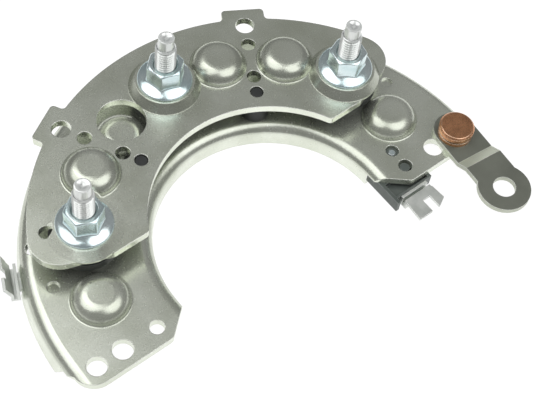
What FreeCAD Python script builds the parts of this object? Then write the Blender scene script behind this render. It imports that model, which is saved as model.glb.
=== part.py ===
import FreeCAD, Part
import math
import os
import re

import Sketcher
from FreeCAD import Placement, Rotation, Vector

# Frame: the arcs' common centre is the origin, +Y points to the closed side of the horseshoe, +X to the
# end that carries the connector strap, and z = 0 is the surface that the lower plate's rims stand on.
# Angles along the horseshoe start at +Y and grow towards -X.

doc = FreeCAD.newDocument("alternator_rectifier")
sheet = doc.addObject("Spreadsheet::Sheet", "Sizes")

sizes = [
    # sheet metal of both plates
    ("plate_thickness", 2.0),
    ("plate_gap", 5.7),
    ("channel_height", 5.8),
    # upper plate
    ("upper_outer_radius", "=rim_outer_radius - 2.95"),
    ("upper_inner_radius", "=rim_inner_radius + 1.25"),
    ("upper_end_angle", 70),
    ("upper_end_line", 13.0),
    ("upper_end_round", 7.2),
    ("upper_corner_round", 1.2),
    ("tab_angle", 29.8),
    ("tab_width", 10.5),
    ("tab_reach", "=rim_outer_radius"),
    ("tab_round", 1.0),
    ("tab_hole_circle", "=tab_reach - 5.05"),
    ("tab_hole_radius", 2.33),
    ("outer_hole_circle", "=stud_circle + 4.75"),
    ("inner_hole_circle", "=stud_circle - 4.95"),
    ("row_hole_radius", 1.78),
    ("side_hole_circle", "=upper_outer_radius - 4.3"),
    ("side_hole_radius", 1.67),
    ("clearance_hole_radius", 5.85),
    # lower plate
    ("rim_inner_radius", 28.25),
    ("rim_outer_radius", 59.15),
    ("rim_flare", 10),
    ("bend_radius", 3.0),
    ("end_drop", 8.2),
    ("end_shoulder_drop", 2.3),
    ("end_skirt_slant", 2.5),
    ("end_toe_reach", "=rim_inner_radius + 6.95"),
    ("end_tip_reach", "=rim_outer_radius - 1.55"),
    ("end_round", 5.2),
    ("end_corner_round", 1.5),
    ("end_hole_drop", 4.0),
    ("end_hole_reach", "=diode_circle + 2.3"),
    ("end_hole_radius", 2.4),
    ("far_hole_reach", "=end_tip_reach - 5.15"),
    ("far_hole_radius", 2.3),
    ("post_hole_reach", "=rim_inner_radius + 8.35"),
    ("post_hole_radius", 1.72),
    ("pin_hole_reach", "=rim_inner_radius + 8.55"),
    ("pin_hole_rise", 1.0),
    ("pin_hole_radius", 1.63),
    ("pip_circle", "=rim_outer_radius - 6.95"),
    ("pip_angle", 70.6),
    ("pip_radius", 1.43),
    ("pip_depth", 0.6),
    ("edge_hole_circle", "=rim_outer_radius - 3.65"),
    ("edge_hole_angle", 59.3),
    ("edge_hole_radius", 1.55),
    # formed seats of the diodes
    ("diode_circle", "=(rim_inner_radius + rim_outer_radius) / 2 - 0.3"),
    ("near_angle", 19),
    ("far_angle", 40.5),
    ("end_angle", 78.4),
    ("dome_base", 6.75),
    ("dome_crown", 2.95),
    ("dome_height", 3.3),
    ("dome_foot", 0.4),
    ("cavity_mouth", 4.8),
    ("cavity_shoulder", 0.2),
    ("cavity_roof", 1.3),
    ("cavity_roof_radius", 3.7),
    # diodes
    ("die_radius", 3.4),
    ("die_thickness", 0.9),
    ("lead_head_radius", 1.8),
    ("lead_head_thickness", 0.5),
    ("lead_radius", 0.75),
    ("lead_stub", 0.5),
    # studs and nuts
    ("stud_circle", "=diode_circle + 0.05"),
    ("stud_angle", 60),
    ("stud_diameter", 5.0),
    ("stud_pitch_diameter", 4.48),
    ("stud_free_gap", 0.5),
    ("stud_rise", 18.0),
    ("stud_tip_diameter", 3.54),
    ("stud_tip_length", 2.2),
    ("stud_head_radius", 4.5),
    ("stud_head_thickness", 1.8),
    ("stud_clearance", 0.25),
    ("boss_base", 8.6),
    ("boss_top", 7.1),
    ("boss_height", 2.4),
    ("recess_mouth", 7.9),
    ("recess_roof", 6.5),
    ("nut_flange_diameter", 13.1),
    ("nut_flange_edge", 0.45),
    ("nut_flange_rise", 1.1),
    ("nut_across_flats", 8.0),
    ("nut_height", 6.2),
    ("nut_chamfer", 0.45),
    ("nut_countersink_radius", 3.0),
    ("nut_countersink_depth", 0.5),
    ("thread_clearance", 0.05),
    ("nut_turn_left", 33),
    ("nut_turn_middle", 42),
    ("nut_turn_right", 21.5),
    # insulators
    ("spacer_radius", 8.2),
    ("spacer_foot_radius", 6.3),
    ("spacer_foot_height", 3.7),
    ("spacer_neck_radius", 3.5),
    ("spacer_clearance", 0.1),
    ("washer_radius", 6.0),
    ("washer_thickness", 0.8),
    ("peg_circle", "=upper_inner_radius + 4.4"),
    ("peg_radius", 1.35),
    ("peg_hole_radius", 1.63),
    ("peg_top_gap", 0.3),
    ("peg_spacer_circle", "=peg_circle + 0.1"),
    ("peg_spacer_radius", 3.4),
    # moulded terminal board
    ("board_floor", 0.4),
    ("board_inner_gap", 0.05),
    ("board_outer_gap", 0.6),
    ("board_left_angle", 84),
    ("board_block_inner", "=rim_inner_radius + 0.85"),
    ("board_block_outer", "=diode_circle - 2.4"),
    ("board_block_drop", 9.1),
    ("board_wall", 0.9),
    ("board_pocket_rise", 4.6),
    ("board_pocket_depth", 1.2),
    ("board_lug", 1.3),
    ("chimney_radius", 2.3),
    ("chimney_bore", 0.9),
    ("chimney_clearance", 0.2),
    ("chimney_top", 9.0),
    ("channel_margin", 0.2),
    ("post_radius", 1.2),
    ("post_rise", 1.2),
    # phase bars and their terminals
    ("bar_thickness", 1.0),
    ("bar_drop", 1.4),
    ("bar_width", 3.0),
    ("inner_bar_circle", "=rim_inner_radius + 7.25"),
    ("outer_bar_circle", "=rim_outer_radius - 7.65"),
    ("tongue_width", 3.6),
    ("eyelet_clearance", 0.1),
    ("arm_width", 4.4),
    ("left_arm_angle", 65.25),
    ("band_overrun", 2),
    ("middle_arm_angle", 25),
    ("arm_clearance", 0.3),
    ("leaf_thickness", 0.7),
    ("leaf_gap", 0.7),
    ("leaf_width", 7.8),
    ("leaf_floor", 0.7),
    ("leaf_seat", 0.1),
    ("terminal_reach", "=rim_inner_radius + 6.85"),
    ("terminal_top", 3.75),
    ("middle_terminal_top", 2.5),
    ("fork_root_width", 8.2),
    ("fork_tip_width", 9.0),
    ("fork_notch_width", 2.3),
    ("fork_notch_share", 0.665),
    ("right_fork_reach", 5.37),
    ("right_fork_slant", 1.4),
    ("right_notch_shift", 0.65),
    ("left_fork_reach", 1.5),
    ("left_fork_rise", 4.0),
    ("middle_fork_reach", 3.0),
    ("pin_radius", 0.8),
    ("pin_rise", 1.3),
    # connector strap and its rivet
    ("rivet_reach", "=end_tip_reach - 5.6"),
    ("rivet_drop", 4.5),
    ("rivet_shank_radius", 2.0),
    ("rivet_clearance", 0.05),
    ("rivet_foot_radius", 3.4),
    ("rivet_foot_height", 1.0),
    ("rivet_rim_radius", 4.2),
    ("rivet_rim_height", 1.1),
    ("rivet_groove_radius", 3.7),
    ("rivet_groove_height", 0.5),
    ("rivet_head_radius", 4.3),
    ("rivet_head_height", 1.6),
    ("rivet_bevel", 0.45),
    ("strap_thickness", 1.4),
    ("strap_half_width", 5.125),
    ("strap_offset", 0.48),
    ("strap_end_shift", 0.7),
    ("strap_swing", 5.45),
    ("strap_length", 19.04),
    ("joggle_start", 7.4),
    ("joggle_stop", 10.3),
    ("joggle_rise", 1.6),
    ("eye_radius", 6.4),
    ("eye_hole_radius", 2.75),
]

for row, (name, value) in enumerate(sizes, 1):
    sheet.set(f"A{row}", name)
    sheet.setAlias(f"B{row}", name)
for row, (name, value) in enumerate(sizes, 1):
    sheet.set(f"B{row}", str(value))
doc.recompute()

size_names = {name for name, value in sizes}

# Levels that several pieces share.
upper_floor = "(channel_height + plate_gap)"
upper_top = "(channel_height + plate_gap + plate_thickness)"
lower_floor = "(channel_height - plate_thickness)"
boss_face = "(channel_height + plate_gap + plate_thickness + boss_height)"
bar_top = "(channel_height - plate_thickness - bar_drop)"
bar_floor = "(channel_height - plate_thickness - bar_drop - bar_thickness)"
rim_seat = "(rim_outer_radius + leaf_seat)"

# Radii where the lower plate's level web meets its two bends, and the board that lies between them.
inner_bend = "(rim_inner_radius + bend_radius)"
wall_rise = "(channel_height - bend_radius + bend_radius * sin(rim_flare))"
outer_bend = f"(rim_outer_radius - {wall_rise} * tan(rim_flare) - bend_radius * cos(rim_flare))"
board_inner = f"({inner_bend} + board_inner_gap)"
board_outer = f"({outer_bend} - board_outer_gap)"


def bind(text):
    # Puts the sheet's name before each size in an expression.
    return re.sub("[a-z_]+", lambda word: "Sizes." + word[0] if word[0] in size_names else word[0], str(text))


def number(text):
    return float(sheet.evalExpression(bind(text)))


def polar(radius, angle):
    return f"-({radius}) * sin({angle})", f"({radius}) * cos({angle})"


def origin_feature(owner, role):
    return [feature for feature in owner.Origin.OriginFeatures if feature.Role == role][0]


def new_body(label):
    owner = doc.addObject("PartDesign::Body", label)
    owner.Label = label
    return owner


def seat(owner, x, y, floor="0", turn="0"):
    owner.Placement = Placement(Vector(0, 0, 0), Rotation(Vector(0, 0, 1), 1))
    owner.setExpression("Placement.Base.x", bind(x))
    owner.setExpression("Placement.Base.y", bind(y))
    owner.setExpression("Placement.Base.z", bind(floor))
    owner.setExpression("Placement.Rotation.Angle", bind(turn))


def attach(owner, name, role, axis, lift, turn):
    drawn = owner.newObject("Sketcher::SketchObject", name)
    drawn.AttachmentSupport = [(origin_feature(owner, role), "")]
    drawn.MapMode = "FlatFace"
    drawn.AttachmentOffset = Placement(Vector(0, 0, 0), Rotation(axis, 1))
    drawn.setExpression("AttachmentOffset.Base.z", bind(lift))
    drawn.setExpression("AttachmentOffset.Rotation.Angle", bind(turn))
    return drawn


def flat_sketch(owner, name, lift="0", turn="0"):
    # Level sketch at a height; turned, its own X axis points that many degrees round from +X.
    return attach(owner, name, "XY_Plane", Vector(0, 0, 1), lift, turn)


def upright_sketch(owner, name, turn="0"):
    # Sketch in an upright plane through the Z axis: its X runs outwards and its Y runs up.
    return attach(owner, name, "XZ_Plane", Vector(0, 1, 0), "0", turn)


def fix_value(drawn, constraint, text):
    index = drawn.addConstraint(constraint)
    drawn.setExpression(f"Constraints[{index}]", bind(text))


def minor_arc(begin, finish, radius, turn):
    half = (finish - begin) * 0.5
    left = Vector(-half.y, half.x, 0).normalize()
    rise = math.sqrt(max(radius ** 2 - half.Length ** 2, 0))
    centre = begin + half + left * (rise * turn)
    first, last = (begin, finish) if turn > 0 else (finish, begin)
    first_angle = math.atan2(first.y - centre.y, first.x - centre.x)
    last_angle = math.atan2(last.y - centre.y, last.x - centre.x)
    return Part.ArcOfCircle(Part.Circle(centre, Vector(0, 0, 1), radius), first_angle, last_angle)


def draw_outline(drawn, corners):
    # Each corner is (x, y), or (x, y, radius, turn) where an arc leads to it: turn 1 is left, -1 is right.
    places = [Vector(number(corner[0]), number(corner[1]), 0) for corner in corners]
    ends = []
    for index, corner in enumerate(corners):
        begin, finish = places[index - 1], places[index]
        if len(corner) == 2:
            edge = drawn.addGeometry(Part.LineSegment(begin, finish), False)
            ends.append((edge, 1, 2))
        else:
            edge = drawn.addGeometry(minor_arc(begin, finish, number(corner[2]), corner[3]), False)
            ends.append((edge, 1, 2) if corner[3] > 0 else (edge, 2, 1))
    for index, corner in enumerate(corners):
        edge, _, finish_point = ends[index]
        next_edge, begin_point, _ = ends[(index + 1) % len(ends)]
        drawn.addConstraint(Sketcher.Constraint("Coincident", edge, finish_point, next_edge, begin_point))
        place = places[index]
        fix_value(drawn, Sketcher.Constraint("DistanceX", -1, 1, edge, finish_point, place.x), corner[0])
        fix_value(drawn, Sketcher.Constraint("DistanceY", -1, 1, edge, finish_point, place.y), corner[1])
        if len(corner) > 2:
            fix_value(drawn, Sketcher.Constraint("Radius", edge, number(corner[2])), corner[2])
    return drawn


def draw_circle(drawn, place, radius):
    x, y = number(place[0]), number(place[1])
    edge = drawn.addGeometry(Part.Circle(Vector(x, y, 0), Vector(0, 0, 1), number(radius)), False)
    fix_value(drawn, Sketcher.Constraint("DistanceX", -1, 1, edge, 3, x), place[0])
    fix_value(drawn, Sketcher.Constraint("DistanceY", -1, 1, edge, 3, y), place[1])
    fix_value(drawn, Sketcher.Constraint("Radius", edge, number(radius)), radius)


def draw_axis(drawn, place):
    # Upright construction line that a turned form goes round.
    x = number(place)
    edge = drawn.addGeometry(Part.LineSegment(Vector(x, 0, 0), Vector(x, 10, 0)), True)
    fix_value(drawn, Sketcher.Constraint("DistanceX", -1, 1, edge, 1, x), place)
    fix_value(drawn, Sketcher.Constraint("DistanceX", -1, 1, edge, 2, x), place)
    drawn.addConstraint(Sketcher.Constraint("DistanceY", -1, 1, edge, 1, 0))
    drawn.addConstraint(Sketcher.Constraint("DistanceY", -1, 1, edge, 2, 10))


def add_pad(owner, name, drawn, length, both_ways=False):
    pad = owner.newObject("PartDesign::Pad", name)
    pad.Profile = drawn
    pad.setExpression("Length", bind(length))
    if both_ways:
        pad.SideType = "Symmetric"
    return pad


def cut_through(owner, name, drawn):
    pocket = owner.newObject("PartDesign::Pocket", name)
    pocket.Profile = drawn
    pocket.SideType = "Symmetric"
    pocket.Type = "ThroughAll"
    return pocket


def cut_depth(owner, name, drawn, depth, upwards=False):
    pocket = owner.newObject("PartDesign::Pocket", name)
    pocket.Profile = drawn
    pocket.setExpression("Length", bind(depth))
    pocket.Reversed = upwards
    return pocket


def turn_profile(owner, name, kind, drawn, axis="V_Axis", angle="360"):
    feature = owner.newObject("PartDesign::" + kind, name)
    feature.Profile = drawn
    feature.ReferenceAxis = (drawn, [axis])
    feature.setExpression("Angle", bind(angle))
    return feature


def turned_piece(label, corners):
    # A round piece from its half section, in its own body.
    owner = new_body(label)
    drawn = draw_outline(upright_sketch(owner, label + "_section"), corners)
    turn_profile(owner, label + "_turned", "Revolution", drawn)
    return owner


def round_uprights(owner, name, places, radius):
    # Rounds the upright edges that stand at the given places.
    doc.recompute()
    base = owner.Tip
    spots = [Vector(number(x), number(y), 0) for x, y in places]
    near = 0.05
    edges = []
    for index, edge in enumerate(base.Shape.Edges, 1):
        box = edge.BoundBox
        foot = Vector(box.Center.x, box.Center.y, 0)
        upright = box.XLength < near and box.YLength < near
        if upright and min((foot - spot).Length for spot in spots) < near:
            edges.append(f"Edge{index}")
    fillet = owner.newObject("PartDesign::Fillet", name)
    fillet.Base = (base, edges)
    fillet.setExpression("Radius", bind(radius))
    return fillet


def round_rings(owner, name, places, ring_radius, level, radius):
    # Rounds the level circles of one radius that lie round the given places.
    doc.recompute()
    base = owner.Tip
    spots = [Vector(number(x), number(y), number(level)) for x, y in places]
    near = 0.05
    edges = []
    for index, edge in enumerate(base.Shape.Edges, 1):
        curve = edge.Curve
        if not isinstance(curve, Part.Circle) or abs(curve.Radius - number(ring_radius)) > near:
            continue
        if min((curve.Center - spot).Length for spot in spots) < near:
            edges.append(f"Edge{index}")
    fillet = owner.newObject("PartDesign::Fillet", name)
    fillet.Base = (base, edges)
    fillet.setExpression("Radius", bind(radius))
    return fillet


def raise_dome(owner, tag, angle, face):
    # A diode's seat: a button pressed up from the plate, with a cavity below it.
    turn = f"90 + ({angle})"
    reach = "diode_circle"
    side = "((dome_base - dome_crown)^2 + dome_height^2) / (2 * dome_height)"
    outside = draw_outline(
        upright_sketch(owner, tag + "_dome_section", turn),
        [
            (reach, f"{face} - plate_thickness / 2"),
            (f"{reach} + dome_base", f"{face} - plate_thickness / 2"),
            (f"{reach} + dome_base", face),
            (f"{reach} + dome_crown", f"{face} + dome_height", side, 1),
            (reach, f"{face} + dome_height"),
        ],
    )
    draw_axis(outside, reach)
    turn_profile(owner, tag + "_dome", "Revolution", outside, "Axis0")
    inside = draw_outline(
        upright_sketch(owner, tag + "_cavity_section", turn),
        [
            (reach, f"{face} - plate_thickness"),
            (f"{reach} + cavity_mouth", f"{face} - plate_thickness"),
            (f"{reach} + cavity_mouth", f"{face} + cavity_shoulder"),
            (f"{reach} + cavity_roof_radius", f"{face} + cavity_roof"),
            (reach, f"{face} + cavity_roof"),
        ],
    )
    draw_axis(inside, reach)
    turn_profile(owner, tag + "_cavity", "Groove", inside, "Axis0")


def tab_corners(angle):
    root = "(asin(tab_width / 2 / upper_outer_radius) / 1 deg)"
    tip = "(atan(tab_width / 2 / tab_reach) / 1 deg)"
    return [
        polar("upper_outer_radius", f"{angle} - {root}") + ("upper_outer_radius", 1),
        polar(f"tab_reach / cos({tip})", f"{angle} - {tip}"),
        polar(f"tab_reach / cos({tip})", f"{angle} + {tip}"),
        polar("upper_outer_radius", f"{angle} + {root}"),
    ]


def upper_blank_corners():
    inner_reach = "sqrt(upper_inner_radius^2 - upper_end_line^2)"
    end_reach = "upper_end_line / cos(upper_end_angle)"
    return (
        [
            (inner_reach, "upper_end_line", "upper_inner_radius", -1),
            polar(end_reach, "-upper_end_angle"),
            polar("upper_outer_radius", "-upper_end_angle"),
        ]
        + tab_corners("-tab_angle")
        + tab_corners("tab_angle")
        + [
            polar("upper_outer_radius", "upper_end_angle") + ("upper_outer_radius", 1),
            polar(end_reach, "upper_end_angle"),
            ("-" + inner_reach, "upper_end_line"),
            ("0", "upper_inner_radius", "upper_inner_radius", -1),
        ]
    )


def form_stud_bosses(owner):
    # Three raised round seats for the nuts, hollow below, a third of the pattern drawn at the right stud.
    turn = "90 - stud_angle"
    outside = draw_outline(
        upright_sketch(owner, "boss_section", turn),
        [
            ("stud_circle", f"{upper_top} - plate_thickness / 4"),
            ("stud_circle + boss_base", f"{upper_top} - plate_thickness / 4"),
            ("stud_circle + boss_base", upper_top),
            ("stud_circle + boss_top", boss_face),
            ("stud_circle", boss_face),
        ],
    )
    draw_axis(outside, "stud_circle")
    boss = turn_profile(owner, "boss", "Revolution", outside, "Axis0")
    inside = draw_outline(
        upright_sketch(owner, "recess_section", turn),
        [
            ("stud_circle", upper_floor),
            ("stud_circle + recess_mouth", upper_floor),
            ("stud_circle + recess_roof", f"{upper_floor} + boss_height"),
            ("stud_circle", f"{upper_floor} + boss_height"),
        ],
    )
    draw_axis(inside, "stud_circle")
    recess = turn_profile(owner, "recess", "Groove", inside, "Axis0")
    hole_sketch = flat_sketch(owner, "stud_hole_circle", boss_face)
    draw_circle(hole_sketch, polar("stud_circle", "-stud_angle"), "stud_diameter / 2 + stud_clearance")
    hole = cut_through(owner, "stud_hole", hole_sketch)
    doc.recompute()
    ring = owner.newObject("PartDesign::PolarPattern", "stud_seats")
    ring.Originals = [boss, recess, hole]
    ring.Axis = (origin_feature(owner, "Z_Axis"), [""])
    ring.setExpression("Angle", bind("2 * stud_angle"))
    ring.Occurrences = 3
    owner.Tip = ring
    return ring


def make_positive_plate():
    owner = new_body("positive_plate")
    blank = draw_outline(flat_sketch(owner, "upper_blank", upper_floor), upper_blank_corners())
    add_pad(owner, "upper_sheet", blank, "plate_thickness")
    ends = [polar("upper_outer_radius", sign + "upper_end_angle") for sign in ("-", "")]
    round_uprights(owner, "upper_end_rounds", ends, "upper_end_round")
    corners = []
    for sign in ("-", ""):
        tab = tab_corners(sign + "tab_angle")
        corners += [corner[:2] for corner in tab]
    round_uprights(owner, "tab_rounds", corners, "tab_round")
    inner = [(sign + "sqrt(upper_inner_radius^2 - upper_end_line^2)", "upper_end_line") for sign in ("-", "")]
    inner += [polar("upper_end_line / cos(upper_end_angle)", sign + "upper_end_angle") for sign in ("-", "")]
    round_uprights(owner, "upper_corner_rounds", inner, "upper_corner_round")
    form_stud_bosses(owner)
    seats = {"left": "far_angle", "middle": "-near_angle", "right": "-far_angle"}
    for tag, angle in seats.items():
        raise_dome(owner, "upper_" + tag, angle, upper_top)
    feet = [polar("diode_circle", angle) for angle in seats.values()]
    round_rings(owner, "upper_dome_feet", feet, "dome_base", upper_top, "dome_foot")
    holes = flat_sketch(owner, "upper_hole_circles", upper_top)
    for sign in ("-", ""):
        row = sign + "tab_angle"
        draw_circle(holes, polar("tab_hole_circle", row), "tab_hole_radius")
        draw_circle(holes, polar("outer_hole_circle", row), "row_hole_radius")
        draw_circle(holes, polar("inner_hole_circle", row), "row_hole_radius")
        draw_circle(holes, polar("peg_circle", row), "peg_hole_radius")
    draw_circle(holes, polar("side_hole_circle", "stud_angle"), "side_hole_radius")
    draw_circle(holes, polar("diode_circle", "near_angle"), "clearance_hole_radius")
    cut_through(owner, "upper_holes", holes)
    return owner


def channel_corners():
    # Section of the lower plate: upright inner rim, flat web, flared outer rim, both bends rounded.
    top = "channel_height"
    inside_bend = "(bend_radius - plate_thickness)"
    level = "(channel_height - bend_radius)"
    return [
        ("rim_inner_radius", "0"),
        ("rim_inner_radius + plate_thickness", "0"),
        ("rim_inner_radius + plate_thickness", level),
        (inner_bend, lower_floor, inside_bend, -1),
        (outer_bend, lower_floor),
        (
            f"{outer_bend} + {inside_bend} * cos(rim_flare)",
            f"{level} + {inside_bend} * sin(rim_flare)",
            inside_bend,
            -1,
        ),
        ("rim_outer_radius - plate_thickness / cos(rim_flare)", "0"),
        ("rim_outer_radius", "0"),
        (f"{outer_bend} + bend_radius * cos(rim_flare)", wall_rise),
        (outer_bend, top, "bend_radius", 1),
        (inner_bend, top),
        ("rim_inner_radius", level, "bend_radius", 1),
    ]


def end_trim_corners(side, turn):
    # Plan of what is cut away round one end, which leaves a slanted corner, a toe and a rounded tip.
    below = "-(end_drop + plate_thickness)"
    near, far = "(rim_inner_radius - plate_thickness)", "(rim_outer_radius + plate_thickness)"
    return [
        (side + "rim_inner_radius", "-end_shoulder_drop"),
        (side + "end_toe_reach", "-end_drop"),
        (side + "(end_tip_reach - end_round)", "-end_drop"),
        (side + "end_tip_reach", "end_round - end_drop", "end_round", turn),
        (side + "rim_outer_radius", "0"),
        (side + far, "0"),
        (side + far, below),
        (side + near, below),
        (side + near, "-end_shoulder_drop"),
    ]


def run_out_ends(owner):
    # The channel runs on straight past its arc, cut to the ends' plan and free of its rims there.
    run = draw_outline(upright_sketch(owner, "run_section"), channel_corners())
    right = add_pad(owner, "right_run", run, "end_drop + plate_thickness / 2")
    doc.recompute()
    both = owner.newObject("PartDesign::Mirrored", "both_runs")
    both.Originals = [right]
    both.MirrorPlane = (origin_feature(owner, "YZ_Plane"), [""])
    owner.Tip = both
    plan = flat_sketch(owner, "end_trims", "channel_height")
    for side, turn in (("", 1), ("-", -1)):
        draw_outline(plan, end_trim_corners(side, turn))
    cut_through(owner, "ends", plan)
    below = "-(end_drop + plate_thickness)"
    rims = attach(owner, "rim_trim", "YZ_Plane", Vector(0, 0, 1), "0", "0")
    deep = "-plate_thickness"
    draw_outline(rims, [("0", deep), ("0", lower_floor), (below, lower_floor), (below, deep)])
    cut_through(owner, "end_floors", rims)
    for tag, lift, outwards in (("right", outer_bend, True), ("left", "-" + outer_bend, False)):
        slant = attach(owner, tag + "_slant_outline", "YZ_Plane", Vector(0, 0, 1), lift, "0")
        draw_outline(slant, [("0", "0"), ("end_skirt_slant", "0"), ("0", lower_floor)])
        cut_depth(owner, tag + "_slant", slant, "2 * bend_radius", outwards)
    toes = [("end_toe_reach", "-end_drop"), ("-end_toe_reach", "-end_drop")]
    round_uprights(owner, "end_corner_rounds", toes, "end_corner_round")


def make_negative_plate():
    owner = new_body("negative_plate")
    section = draw_outline(upright_sketch(owner, "channel_section"), channel_corners())
    turn_profile(owner, "channel", "Revolution", section, angle="180")
    run_out_ends(owner)
    seats = {"left": "end_angle", "middle": "near_angle", "right": "-end_angle"}
    for tag, angle in seats.items():
        raise_dome(owner, "lower_" + tag, angle, "channel_height")
    feet = [polar("diode_circle", angle) for angle in seats.values()]
    round_rings(owner, "lower_dome_feet", feet, "dome_base", "channel_height", "dome_foot")
    holes = flat_sketch(owner, "lower_hole_circles", "channel_height")
    draw_circle(holes, ("end_hole_reach", "-end_hole_drop"), "end_hole_radius")
    draw_circle(holes, ("-end_hole_reach", "-end_hole_drop"), "end_hole_radius")
    draw_circle(holes, ("-far_hole_reach", "-end_hole_drop"), "far_hole_radius")
    draw_circle(holes, ("-post_hole_reach", "-end_hole_drop"), "post_hole_radius")
    draw_circle(holes, ("post_hole_reach", "-end_hole_drop"), "post_hole_radius")
    draw_circle(holes, ("pin_hole_reach", "pin_hole_rise"), "pin_hole_radius")
    draw_circle(holes, ("rivet_reach", "-rivet_drop"), "rivet_shank_radius + rivet_clearance")
    draw_circle(holes, polar("edge_hole_circle", "edge_hole_angle"), "edge_hole_radius")
    for angle in ("far_angle", "-near_angle", "-far_angle"):
        draw_circle(holes, polar("diode_circle", angle), "chimney_radius + chimney_clearance")
    for angle in ("-stud_angle", "0", "stud_angle"):
        draw_circle(holes, polar("stud_circle", angle), "spacer_neck_radius + spacer_clearance")
    for angle in ("-tab_angle", "tab_angle"):
        draw_circle(holes, polar("peg_circle", angle), "peg_radius + spacer_clearance")
    cut_through(owner, "lower_holes", holes)
    pips = flat_sketch(owner, "pip_circles", "channel_height")
    draw_circle(pips, polar("pip_circle", "-pip_angle"), "pip_radius")
    draw_circle(pips, polar("pip_circle", "pip_angle"), "pip_radius")
    cut_depth(owner, "pips", pips, "pip_depth")
    for tag, angle in (("left", "left_arm_angle"), ("middle", "-middle_arm_angle")):
        gate = flat_sketch(owner, tag + "_gate_outline", "0", f"90 + ({angle})")
        half = "(arm_width / 2 + arm_clearance)"
        near, far = board_outer, "(rim_outer_radius + plate_thickness)"
        draw_outline(gate, [(near, "-" + half), (far, "-" + half), (far, half), (near, half)])
        cut_depth(owner, tag + "_gate", gate, f"{bar_top} + arm_clearance", True)
    return owner


def band_corners(inner, outer, start, stop):
    # Part of a ring between two radii and two angles, less than half a turn apart.
    return [
        polar(inner, start) + (inner, -1),
        polar(outer, start),
        polar(outer, stop) + (outer, 1),
        polar(inner, stop),
    ]


def tongue_corners(root, tip, half, outwards):
    # A strip along the sketch's X axis that ends in a half round.
    sign = "" if outwards else "-"
    other = "-" if outwards else ""
    return [
        (root, other + half),
        (tip, other + half),
        (f"{tip} + ({sign}{half})", "0", half, 1),
        (tip, sign + half, half, 1),
        (root, sign + half),
    ]


def draw_bar_pieces(owner, tag, lift, length, margin, bar, upwards):
    # The bands, tongues and arms of one phase bar: pads of the bar itself, or wider channels cut for it.
    def add_piece(name, turn, corners):
        drawn = draw_outline(flat_sketch(owner, f"{tag}_{name}_outline", lift, turn), corners)
        if upwards:
            return cut_depth(owner, f"{tag}_{name}", drawn, length, True)
        return add_pad(owner, f"{tag}_{name}", drawn, length)

    half = f"(bar_width / 2 + {margin})"
    circle, start, stop = bar["band"]
    add_piece("band", "0", band_corners(f"({circle} - {half})", f"({circle} + {half})", start, stop))
    outwards = bar["outwards"]
    tongue = f"(tongue_width / 2 + {margin})"
    for index, angle in enumerate(bar["eyelets"], 1):
        corners = tongue_corners(circle, "diode_circle", tongue, outwards)
        add_piece(f"tongue_{index}", f"90 + ({angle})", corners)
    arm = f"(arm_width / 2 + {margin})"
    begin, finish, across = bar["arm"]
    corners = [(begin, f"{across} - {arm}"), (finish, f"{across} - {arm}")]
    corners += [(finish, f"{across} + {arm}"), (begin, f"{across} + {arm}")]
    add_piece("arm", bar["arm_turn"], corners)


phase_bars = {
    "right": {
        "band": ("inner_bar_circle", "-90", "-far_angle"),
        "outwards": True,
        "eyelets": ("-far_angle", "-end_angle"),
        "arm": ("-bar_width", "board_block_drop", "inner_bar_circle"),
        "arm_turn": "-90",
    },
    "middle": {
        "band": ("outer_bar_circle", "-middle_arm_angle - band_overrun", "near_angle"),
        "outwards": False,
        "eyelets": ("-near_angle", "near_angle"),
        "arm": ("outer_bar_circle", rim_seat, "0"),
        "arm_turn": "90 - middle_arm_angle",
    },
    "left": {
        "band": ("outer_bar_circle", "far_angle", "end_angle"),
        "outwards": False,
        "eyelets": ("far_angle", "end_angle"),
        "arm": ("outer_bar_circle", rim_seat, "0"),
        "arm_turn": "90 + left_arm_angle",
    },
}


def make_phase_bar(side):
    bar = phase_bars[side]
    owner = new_body("phase_bar_" + side)
    draw_bar_pieces(owner, side, bar_floor, "bar_thickness", "0", bar, False)
    holes = flat_sketch(owner, side + "_eyelet_circles", bar_top)
    for angle in bar["eyelets"]:
        draw_circle(holes, polar("diode_circle", angle), "lead_radius + eyelet_clearance")
    cut_through(owner, side + "_eyelets", holes)
    return owner


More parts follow.
